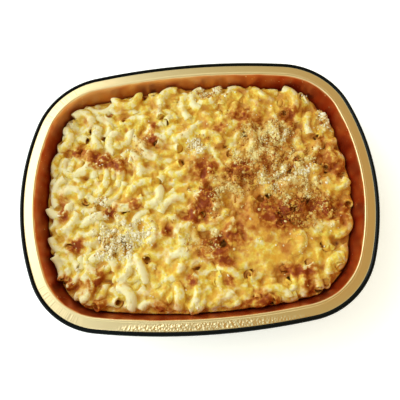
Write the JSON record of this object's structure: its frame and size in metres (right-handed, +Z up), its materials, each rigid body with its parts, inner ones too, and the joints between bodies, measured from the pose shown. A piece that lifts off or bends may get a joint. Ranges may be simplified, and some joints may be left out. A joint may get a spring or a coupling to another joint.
{
  "type": "mac and cheese",
  "caption": "Baked elbow macaroni in cheese sauce with toasted crumbs, in an oval smooth-walled foil tray with a gold flange and a black rolled edge.",
  "frame": {"origin": "centre of the tray's outline, on the surface that the tray stands on", "axes": "+Z up, X along the tray's length, -Y towards the side of the tray nearest the camera"},
  "size_m": [0.216, 0.1692, 0.045],
  "materials": {
    "lacquered_foil": "gold lacquer inside and on the flange, glossy black outside and on the rolled edge",
    "macaroni_cheese": "soft satin, cooked pasta under cheese sauce with toasted crumbs"
  },
  "bodies": {
    "root": {"foil_tray": "lacquered_foil", "macaroni": "macaroni_cheese"}
  },
  "joints": []
}
